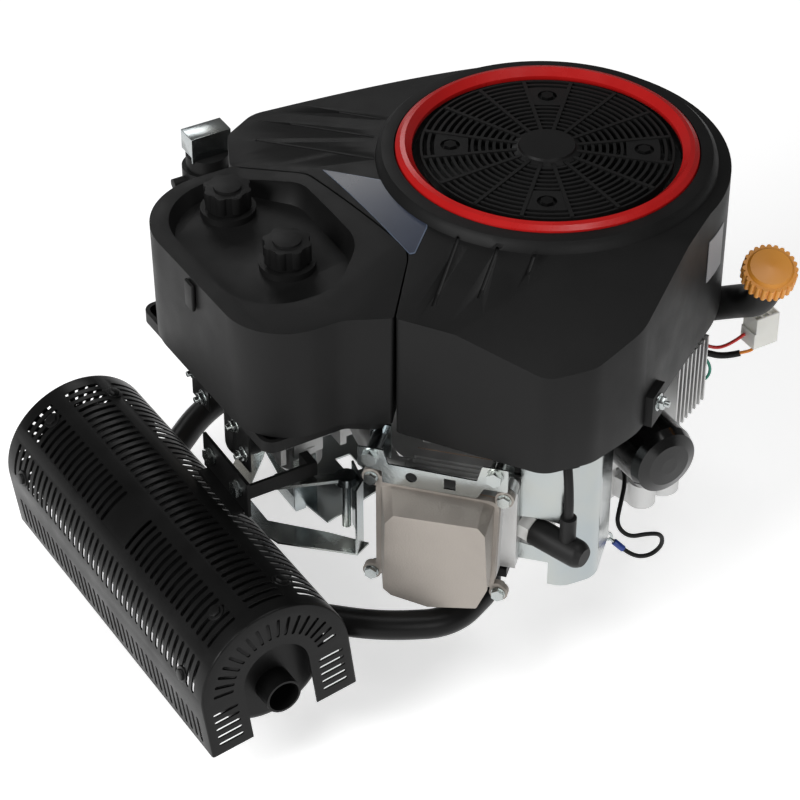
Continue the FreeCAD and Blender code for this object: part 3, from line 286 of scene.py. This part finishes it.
def addBlock(name, low, high):
    pickNone()
    middle = [(a + b) / 2 for a, b in zip(low, high)]
    bpy.ops.mesh.primitive_cube_add(size=1, location=middle)
    piece = bpy.context.object
    piece.name = name
    piece.scale = [b - a for a, b in zip(low, high)]
    return settle(piece)


def addRod(name, start, end, radius, sides=32):
    pickNone()
    line = Vector(end) - Vector(start)
    middle = (Vector(start) + Vector(end)) / 2
    bpy.ops.mesh.primitive_cylinder_add(vertices=sides, radius=radius, depth=line.length, location=middle,
                                        rotation=line.to_track_quat("Z", "Y").to_euler())
    piece = bpy.context.object
    piece.name = name
    return settle(piece)


def joined(pieces, name):
    pickNone()
    for piece in pieces:
        piece.select_set(True)
    bpy.context.view_layer.objects.active = pieces[0]
    bpy.ops.object.join()
    pieces[0].name = name
    return pieces[0]


def copied(piece, name):
    twin = piece.copy()
    twin.data = piece.data.copy()
    twin.name = name
    bpy.context.scene.collection.objects.link(twin)
    return twin


def applied(piece, kind, **settings):
    pickOnly(piece)
    step = piece.modifiers.new("step", kind)
    for key, value in settings.items():
        setattr(step, key, value)
    bpy.ops.object.modifier_apply(modifier=step.name)
    return piece


def cutWith(piece, cutter, solver="EXACT"):
    applied(piece, "BOOLEAN", operation="DIFFERENCE", object=cutter, solver=solver)
    bpy.data.objects.remove(cutter)
    return piece


def softEdges(piece, width, segments=3, angle=28.0, smooth=30.0):
    applied(piece, "BEVEL", width=width, segments=segments, limit_method="ANGLE", angle_limit=radians(angle),
            harden_normals=False)
    pickOnly(piece)
    bpy.ops.object.shade_smooth_by_angle(angle=radians(smooth))
    return piece


def nearLine(point, line, reach):
    # whether a point of the plan lies within reach of a line of plan points
    for a, b in zip(line, line[1:]):
        run = Vector(b) - Vector(a)
        along = max(0.0, min(1.0, (point - Vector(a)).dot(run) / run.length_squared))
        if (point - Vector(a) - run * along).length < reach:
            return True
    return False


def softEdgesBut(piece, width, angle, line, reach, least):
    # rounds the edges that turn by more than angle, those near the line by only the least share of width
    mesh = piece.data
    sides = {}
    for face in mesh.polygons:
        for key in face.edge_keys:
            sides.setdefault(key, []).append(face.normal)
    weights = mesh.attributes.new("bevel_weight_edge", "FLOAT", "EDGE")
    for edge in mesh.edges:
        normals = sides[edge.key]
        if len(normals) == 2 and normals[0].angle(normals[1], 0) > radians(angle):
            middle = (mesh.vertices[edge.vertices[0]].co + mesh.vertices[edge.vertices[1]].co) / 2
            weights.data[edge.index].value = least if nearLine(middle.xy, line, reach) else 1.0
    applied(piece, "BEVEL", width=width, segments=4, limit_method="WEIGHT", harden_normals=False)
    pickOnly(piece)
    bpy.ops.object.shade_smooth_by_angle(angle=radians(30))
    return piece


def prismOf(name, corners, low, high):
    # an upright prism on an outline of plan points
    pickNone()
    bpy.ops.mesh.primitive_circle_add(vertices=len(corners), radius=0.01, fill_type="NGON")
    piece = bpy.context.object
    piece.name = name
    for vertex, corner in zip(piece.data.vertices, corners):
        vertex.co = (corner[0], corner[1], low)
    bpy.ops.object.mode_set(mode="EDIT")
    bpy.ops.mesh.select_all(action="SELECT")
    bpy.ops.mesh.extrude_region_move(TRANSFORM_OT_translate={"value": (0, 0, high - low)})
    bpy.ops.mesh.select_all(action="SELECT")
    bpy.ops.mesh.normals_make_consistent(inside=False)
    bpy.ops.object.mode_set(mode="OBJECT")
    return piece


def wireCurve(name, points, radius):
    # a round wire through route points in millimetres, as a NURBS spline
    data = bpy.data.curves.new(name, "CURVE")
    data.dimensions = "3D"
    spline = data.splines.new("NURBS")
    spline.points.add(len(points) - 1)
    for point, place in zip(spline.points, points):
        point.co = (place[0] * mm, place[1] * mm, place[2] * mm, 1)
    spline.order_u = 3
    spline.use_endpoint_u = True
    spline.resolution_u = 12
    data.bevel_depth = radius
    data.bevel_resolution = 4
    data.use_fill_caps = True
    wire = bpy.data.objects.new(name, data)
    bpy.context.scene.collection.objects.link(wire)
    return wire


def cadCopy(node, name):
    # a copy of a CAD node's mesh with its triangles joined up and its flat faces whole
    piece = copied(nodes[node], name)
    piece.parent = None
    for key in list(piece.keys()):
        del piece[key]
    pickOnly(piece)
    bpy.ops.object.mode_set(mode="EDIT")
    bpy.ops.mesh.select_all(action="SELECT")
    bpy.ops.mesh.remove_doubles(threshold=0.00001)
    bpy.ops.mesh.dissolve_limited(angle_limit=radians(0.5))
    bpy.ops.object.mode_set(mode="OBJECT")
    return piece


def hand(piece, body, slot, stands=(), finish=None):
    # gives a finished piece its finish and its body, and hides the CAD nodes that it stands for
    settle(piece)
    paintNode(piece, finish or slot)
    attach(piece, body)
    if stands:
        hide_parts(*stands)
    return piece


# muffler heat shield

shieldSizes = {
    "radius": 70.3 * mm, "legs": 55.4 * mm, "nearEnd": -184 * mm, "farEnd": 178 * mm, "sheet": 1.5 * mm,
    "place": (-375 * mm, 0, 36 * mm), "roll": 7.0, "yaw": 2.1,
    "pitch": 8.9 * mm, "slotWidth": 4.2 * mm, "slotLength": 33 * mm, "endMargin": 22 * mm,
    "rows": ((22, None), (60, (-22 * mm, 18 * mm)), (98, None), (136, None), (172, None)),
    "skirtLength": 30 * mm, "skirtDrop": 34 * mm, "skirtPlain": (80 * mm, 168 * mm),
    "spokes": 17, "spokeLength": 19 * mm, "spokeWidth": 3.2 * mm, "spokeR": 50 * mm, "legSlots": 5,
    "archHalf": 31 * mm, "pipeGates": (-124 * mm, 124 * mm), "gateHalf": 37 * mm,
}


def slotCutter(name, length, width, depth):
    # a capsule-shaped prism: long way along X, cut direction along Z
    half = length / 2 - width / 2
    core = addBlock(name, (-half, -width / 2, -depth / 2), (half, width / 2, depth / 2))
    for x in (-half, half):
        end = addRod("end", (x, 0, -depth / 2), (x, 0, depth / 2), width / 2, 12)
        applied(core, "BOOLEAN", operation="UNION", object=end, solver="EXACT")
        bpy.data.objects.remove(end)
    return core


def rowOfSlots(cutter, angleDeg, places, skip):
    # copies of a cutter stood on the arch at one angle, one for each place along the shield
    made = []
    turn = radians(angleDeg)
    r = shieldSizes["radius"]
    for y in places:
        if skip and skip[0] < y < skip[1]:
            continue
        twin = copied(cutter, "slot")
        twin.rotation_euler = (0, turn - pi / 2, 0)
        twin.location = (-r * cos(turn), y, r * sin(turn))
        made.append(settle(twin))
    return made


def makeShield():
    s = shieldSizes
    pickNone()
    length = s["farEnd"] - s["nearEnd"]
    middle = (s["farEnd"] + s["nearEnd"]) / 2
    bpy.ops.mesh.primitive_cylinder_add(vertices=96, radius=s["radius"], depth=length,
                                        location=(0, middle, 0), rotation=(pi / 2, 0, 0))
    shield = settle(bpy.context.object)
    shield.name = "heatShieldSlotted"
    bpy.ops.object.mode_set(mode="EDIT")
    bpy.ops.mesh.select_all(action="SELECT")
    bpy.ops.mesh.bisect(plane_co=(0, 0, 0), plane_no=(0, 0, 1), clear_inner=True, use_fill=False)
    bpy.ops.object.mode_set(mode="OBJECT")
    for edge in shield.data.edges:
        edge.select = all(abs(shield.data.vertices[v].co.z) < 1e-5 for v in edge.vertices)
    bpy.ops.object.mode_set(mode="EDIT")
    bpy.ops.mesh.select_mode(type="EDGE")
    bpy.ops.mesh.extrude_region_move(TRANSFORM_OT_translate={"value": (0, 0, -s["legs"])})
    bpy.ops.mesh.select_all(action="SELECT")
    bpy.ops.mesh.normals_make_consistent(inside=False)
    bpy.ops.object.mode_set(mode="OBJECT")
    applied(shield, "BEVEL", width=2.2 * mm, segments=3, limit_method="ANGLE", angle_limit=radians(50))
    applied(shield, "SOLIDIFY", thickness=s["sheet"], offset=-1)
    cutters = []
    pitch = s["pitch"]
    count = int((length - s["endMargin"]) / pitch)
    first = middle - (count - 1) * pitch / 2
    places = [first + k * pitch for k in range(count)]
    across = slotCutter("across", s["slotLength"], s["slotWidth"], 30 * mm)
    for angle, skip in s["rows"]:
        cutters += rowOfSlots(across, angle, places, skip)
    bpy.data.objects.remove(across)
    skirt = slotCutter("skirt", s["skirtLength"], s["slotWidth"], 24 * mm)
    for side in (-1, 1):
        for y in places:
            if side == 1 and s["skirtPlain"][0] < abs(y) < s["skirtPlain"][1]:
                continue  # the exhaust pipes come in here
            twin = copied(skirt, "slot")
            twin.rotation_euler = (0, pi / 2, 0)
            twin.location = (side * s["radius"], y, -s["skirtDrop"])
            cutters.append(settle(twin))
    bpy.data.objects.remove(skirt)
    spoke = slotCutter("spoke", s["spokeLength"], s["spokeWidth"], 24 * mm)
    for end in (s["nearEnd"], s["farEnd"]):
        for k in range(s["spokes"]):
            a = radians(10 + 160 / (s["spokes"] - 1) * k)
            twin = copied(spoke, "slot")
            twin.rotation_euler = (pi / 2, 0, 0)
            settle(twin)
            twin.rotation_euler = (0, -a, 0)
            twin.location = (s["spokeR"] * cos(a), end, s["spokeR"] * sin(a))
            cutters.append(settle(twin))
        for side in (-1, 1):
            for k in range(s["legSlots"]):
                twin = copied(spoke, "slot")
                twin.rotation_euler = (pi / 2, 0, 0)
                settle(twin)
                twin.scale = (1.25, 1, 1)
                twin.location = (side * 50.5 * mm, end, -(10 + 8.6 * k) * mm)
                cutters.append(settle(twin))
    bpy.data.objects.remove(spoke)
    cutWith(shield, joined(cutters, "slots"))
    half = s["archHalf"]
    end = s["nearEnd"]
    arch = addRod("arch", (0, end - 9 * mm, 0), (0, end + 9 * mm, 0), half, 48)
    cutWith(shield, arch)
    cutWith(shield, addBlock("archLegs", (-half, end - 9 * mm, -70 * mm), (half, end + 9 * mm, 0)))
    far = s["farEnd"]
    cutWith(shield, addBlock("farGate", (-half, far - 9 * mm, -70 * mm), (half, far + 9 * mm, 0)))
    for y in s["pipeGates"]:
        cutWith(shield, addBlock("pipeGate", (40 * mm, y - s["gateHalf"], -70 * mm),
                                 (84 * mm, y + s["gateHalf"], 14 * mm)))
    placeMuffler(shield)
    pickOnly(shield)
    bpy.ops.object.shade_smooth_by_angle(angle=radians(30))
    return hand(shield, "engine", "black_steel", ("heat_shield",))


def placeMuffler(piece):
    s = shieldSizes
    piece.matrix_world = (Matrix.Translation(s["place"]) @ Matrix.Rotation(radians(s["yaw"]), 4, "Z")
                          @ Matrix.Rotation(radians(-s["roll"]), 4, "Y"))
    return settle(piece)


def makeShieldScrews():
    s = shieldSizes
    screws = []
    for turn, y in ((66, -150), (66, 146), (14, -150), (14, 146), (118, -150), (118, 146)):
        a = radians(turn)
        out = Vector((-cos(a), 0, sin(a)))
        base = out * s["radius"] + Vector((0, y * mm, 0))
        head = addRod("shieldScrew", base - out * 2 * mm, base + out * 3.2 * mm, 5.4 * mm, 6)
        washer = addRod("washer", base - out * 1.0 * mm, base + out * 0.9 * mm, 7.6 * mm, 24)
        screws += [head, washer]
    piece = joined(screws, "shieldScrews")
    placeMuffler(piece)
    softEdges(piece, 0.5 * mm, 2)
    return hand(piece, "engine", "black_steel")


makeShield()
makeShieldScrews()
print("heat shield ready")

# blower housing

housingSizes = {
    "rim": 6.5 * mm, "coneTop": 320 * mm, "slope": 0.17, "coneR": 145 * mm, "wallR": 158.4 * mm,
    "groove": 2.0 * mm, "grooveSteps": 6, "shift": 0.6 * mm,
    "labelTurn": -56, "labelWidth": 12, "labelZ": 267 * mm, "labelHeight": 42 * mm,
}
grooveRuns = [((-191, 174), (-131, 71)), ((-156, 177), (-113, 102)), ((-114, 164), (-93, 125)),
              ((-124, -63), (-186, -124)), ((-107, -95), (-151, -137)), ((-82, -114), (-105, -136))]
# where the air cleaner meets the housing, seen from above
seamLine = [(-219 * mm, -118 * mm), (-169.6 * mm, -57.4 * mm), (-184.6 * mm, 92.6 * mm),
            (-227 * mm, 148 * mm)]
decalOutline = [(-171, 86), (-159, 66), (-142, 37), (-136.5, -29), (-144, -41), (-167, -61.5), (-171, -60)]


def coneHeight(x, y):
    return housingSizes["coneTop"] - housingSizes["slope"] * (sqrt(x * x + y * y) - housingSizes["coneR"])


def makeHousing():
    h = housingSizes
    housing = cadCopy("blower_housing", "blowerHousing")
    softEdgesBut(housing, h["rim"], 32, seamLine, 7 * mm, 0.14)
    steps = h["grooveSteps"]
    for start, end in grooveRuns:
        for k in range(steps):
            a = Vector((*start, 0)).lerp(Vector((*end, 0)), k / steps) * mm
            b = Vector((*start, 0)).lerp(Vector((*end, 0)), (k + 1.04) / steps) * mm
            a.z = coneHeight(a.x, a.y) + h["shift"]
            b.z = coneHeight(b.x, b.y) + h["shift"]
            cutWith(housing, addRod("groove", a, b, h["groove"] * (0.8 + 0.2 * (k + 1) / steps), 12), "FAST")
    pickOnly(housing)
    bpy.ops.object.shade_smooth_by_angle(angle=radians(30))
    return hand(housing, "engine", "black_plastic", ("blower_housing",))


def makeDecal(name, grow, lift, finish):
    # a blank plate laid on the cone, grow larger all round than the outline
    middle = Vector((-153 * mm, 10 * mm))
    corners = []
    for x, y in decalOutline:
        out = Vector((x * mm, y * mm)) - middle
        corners.append(middle + out * (1 + grow / out.length))
    pickNone()
    bpy.ops.mesh.primitive_grid_add(x_subdivisions=12, y_subdivisions=40, size=1,
                                    location=(middle.x, middle.y, 0))
    plate = bpy.context.object
    plate.name = name
    plate.scale = (0.06, 0.18, 1)
    settle(plate)
    for vertex in plate.data.vertices:
        vertex.co.z = coneHeight(vertex.co.x, vertex.co.y) + lift
    applied(plate, "SOLIDIFY", thickness=0.9 * mm, offset=-1)
    outline = prismOf("outline", corners, 280 * mm, 340 * mm)
    applied(plate, "BOOLEAN", operation="INTERSECT", object=outline, solver="EXACT")
    bpy.data.objects.remove(outline)
    return hand(plate, "engine", "black_plastic", (), finish)


def makeLabel():
    # a blank label wrapped round the wall beside the oil filler
    h = housingSizes
    pickNone()
    bpy.ops.mesh.primitive_grid_add(x_subdivisions=16, y_subdivisions=4, size=1)
    label = bpy.context.object
    label.name = "blankLabel"
    for vertex in label.data.vertices:
        turn = radians(h["labelTurn"] + h["labelWidth"] * vertex.co.x)
        z = h["labelZ"] + h["labelHeight"] * vertex.co.y
        vertex.co = (h["wallR"] * cos(turn), h["wallR"] * sin(turn), z)
    applied(label, "SOLIDIFY", thickness=0.6 * mm, offset=0)
    return hand(label, "engine", "black_plastic", (), "label_paper")


makeHousing()
makeDecal("decalEdge", 1.2 * mm, 0.45 * mm, "decal_edge")
makeDecal("decalFace", 0, 0.6 * mm, "decal_face")
makeLabel()
print("housing ready")

# air cleaner cover and its knobs

coverSizes = {"edge": 4.5 * mm}


def makeAirCover():
    cover = cadCopy("air_cover", "airCleanerCover")
    softEdgesBut(cover, coverSizes["edge"], 40, seamLine, 7 * mm, 0.2)
    return hand(cover, "engine", "black_plastic", ("air_cover",))


def makeWallTab():
    tab = addBlock("wallTab", (-337.0 * mm, 9 * mm, 271 * mm), (-333.5 * mm, 23 * mm, 297 * mm))
    softEdges(tab, 1.2 * mm, 3)
    return hand(tab, "engine", "black_plastic")


def makeKnob(n):
    knob = cadCopy("cover_knob_%d" % n, "coverKnob_%d" % n)
    softEdges(knob, 1.1 * mm, 3, 35)
    return hand(knob, "knob_body_%d" % n, "black_plastic", ("cover_knob_%d" % n,))


makeAirCover()
makeWallTab()
for n in (1, 2):
    makeKnob(n)
print("air cleaner ready")

# valve covers


def makeValveCover(n):
    cover = cadCopy("valve_cover_%d" % n, "valveCover_%d" % n)
    softEdges(cover, 2.4 * mm, 3, 25)
    return hand(cover, "engine", "warm_cast_aluminium", ("valve_cover_%d" % n,))


for n in (1, 2):
    makeValveCover(n)
print("valve covers ready")

# zinc screws on the housing lug and the bracket plates

lugSizes = {"place": (-19.3 * mm, -210.0 * mm, 202 * mm), "turn": 34.0}
plateRuns = [((-318, 28, 146), (-316, 60, 184)), ((-314, -38, 124), (-312, -4, 184))]
screwPlaces = [(-318, 50, 176), (-318, 38, 156), (-314, -14, 160), (-314, -28, 138)]


def addScrew(base, out, flats, head):
    # a hexagon head on a washer, with its base on a surface and out the way it faces
    washer = addRod("washer", base - out * 0.4 * mm, base + out * 1.2 * mm, flats * 0.72, 24)
    cap = addRod("head", base, base + out * head, flats * 0.56, 6)
    stem = addRod("stem", base - out * 6 * mm, base + out * (head + 4 * mm), flats * 0.26, 12)
    screw = joined([cap, washer, stem], "zincScrew")
    softEdges(screw, 0.35 * mm, 2)
    return hand(screw, "engine", "zinc_plate")


def makeScrews():
    turn = radians(lugSizes["turn"])
    addScrew(Vector(lugSizes["place"]), Vector((sin(turn), -cos(turn), 0)), 11 * mm, 6 * mm)
    for place in screwPlaces:
        addScrew(Vector(place) * mm, Vector((-1, 0, 0)), 10 * mm, 5 * mm)
    for low, high in plateRuns:
        plate = addBlock("clampPlate", [a * mm for a in low], [a * mm for a in high])
        softEdges(plate, 0.6 * mm, 2)
        hand(plate, "engine", "black_steel")


makeScrews()
print("screws ready")

# wiring, ground lead and fuel pump

# routes are in millimetres
groundRoute = [(10, -112, 63), (6, -132, 67), (-4, -150, 65), (-17, -163, 56), (-27, -172, 43),
               (-20, -182, 33), (-4, -188, 35), (10, -190, 30), (13, -188, 14), (3, -184, 3),
               (-11, -178, 4), (-19, -172, 13)]
groundSizes = {"thick": 4 * mm, "length": 182 * mm, "sleeve": 12 * mm, "ring": 5.2 * mm}
# each wire's radius in millimetres, finish and route
wireRuns = {
    "wireRed": (1.6, "wire_sheath", [(110, -76, 134), (124, -88, 124), (138, -98, 128), (150.9, -103, 140)]),
    "wireGreen": (1.4, "wire_green", [(110, -76, 126), (126, -88, 112), (128, -88, 88), (116, -66, 70),
                                      (97, -47, 63)]),
    "wireOrange": (1.5, "wire_orange", [(146, -98, 116.5), (153, -102, 118), (161, -106, 121),
                                        (164, -108, 131)]),
    "wireBlue": (1.5, "wire_blue", [(160, -104, 163), (158, -104, 176), (148, -98, 182), (134, -90, 178),
                                    (122, -80, 168)]),
    "wireOrangeTop": (1.5, "wire_orange", [(170, -104, 163), (170, -106, 176), (160, -104, 186),
                                           (146, -96, 188), (130, -84, 180)]),
    "wireSheath": (3.0, "black_rubber", [(150, -100, 117), (138, -92, 112), (124, -82, 116),
                                         (108, -70, 118)]),
}


def makeGroundLead():
    g = groundSizes
    lead = wireCurve("groundLead", groundRoute, g["thick"] / 2)
    tip = Vector(groundRoute[-1]) * mm
    line = (tip - Vector(groundRoute[-2]) * mm).normalized()
    sleeve = addRod("crimpSleeve", tip - line * 2 * mm, tip + line * (g["sleeve"] - 2 * mm), 3 * mm, 24)
    softEdges(sleeve, 0.5 * mm, 2)
    start = tip + line * (g["sleeve"] - 3 * mm)
    side = line.cross(Vector((0, 0, 1))).normalized()
    middle = start + line * (g["ring"] + 4 * mm)
    ring = addRod("crimpRing", middle - side * 0.5 * mm, middle + side * 0.5 * mm, g["ring"], 32)
    tongue = addRod("tongue", start, middle - line * 3 * mm, 1.6 * mm, 12)
    applied(ring, "BOOLEAN", operation="UNION", object=tongue, solver="EXACT")
    bpy.data.objects.remove(tongue)
    cutWith(ring, addRod("hole", middle - side * 3 * mm, middle + side * 3 * mm, 2.6 * mm, 24))
    hand(sleeve, "engine", "black_rubber", (), "wire_blue")
    hand(ring, "engine", "zinc_plate")
    hand(lead, "engine", "black_rubber", ("ground_lead",))


def makeWires():
    for name, (radius, finish, points) in wireRuns.items():
        wire = wireCurve(name, points, radius * mm)
        pickOnly(wire)
        bpy.ops.object.convert(target="MESH")
        wire = bpy.context.object
        bpy.ops.object.shade_smooth()
        stands = ("harness_wires",) if name == "wireRed" else ()
        slot = "black_rubber" if finish == "black_rubber" else "wire_sheath"
        hand(wire, "engine", slot, stands, finish)


def makeConnector():
    connector = cadCopy("wiring_connector", "wiringConnector")
    low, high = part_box("wiring_connector")
    for k in range(3):
        for n in range(2):
            x = low[0] + (4.6 + 8.4 * k) * mm
            y = low[1] + (5.2 + 9.6 * n) * mm
            for z in (low[2], high[2]):
                cutWith(connector, addBlock("pocket", (x - 3 * mm, y - 3.4 * mm, z - 9 * mm),
                                            (x + 3 * mm, y + 3.4 * mm, z + 9 * mm)))
    step = (low[2] + high[2]) / 2
    cutWith(connector, addBlock("step", (low[0] - 1 * mm, low[1] - 1 * mm, step),
                                (low[0] + 1.5 * mm, high[1] + 1 * mm, high[2] + 1 * mm)))
    latch = addBlock("latch", (low[0] + 8 * mm, low[1] + 0.2 * mm, step - 7 * mm),
                     (high[0] - 8 * mm, low[1] + 2.6 * mm, step + 9 * mm))
    cutWith(connector, latch)
    softEdges(connector, 0.5 * mm, 2)
    return hand(connector, "engine", "white_nylon", ("wiring_connector",))


def makePump():
    pump = cadCopy("fuel_pump", "fuelPump")
    pickOnly(pump)
    bpy.ops.object.mode_set(mode="EDIT")
    bpy.ops.mesh.select_all(action="SELECT")
    bpy.ops.mesh.separate(type="LOOSE")
    bpy.ops.object.mode_set(mode="OBJECT")
    halves = sorted(bpy.context.selected_objects, key=lambda piece: max(v.co.z for v in piece.data.vertices))
    for piece, width in zip(halves, (1.6 * mm, 0.5 * mm)):
        softEdges(piece, width, 2)
    halves[0].name = "fuelPumpBody"
    halves[1].name = "fuelPumpClip"
    hand(halves[0], "engine", "black_plastic", ("fuel_pump",))
    hand(halves[1], "engine", "black_plastic", (), "zinc_plate")


makeGroundLead()
makeWires()
makeConnector()
makePump()
print("wiring ready")
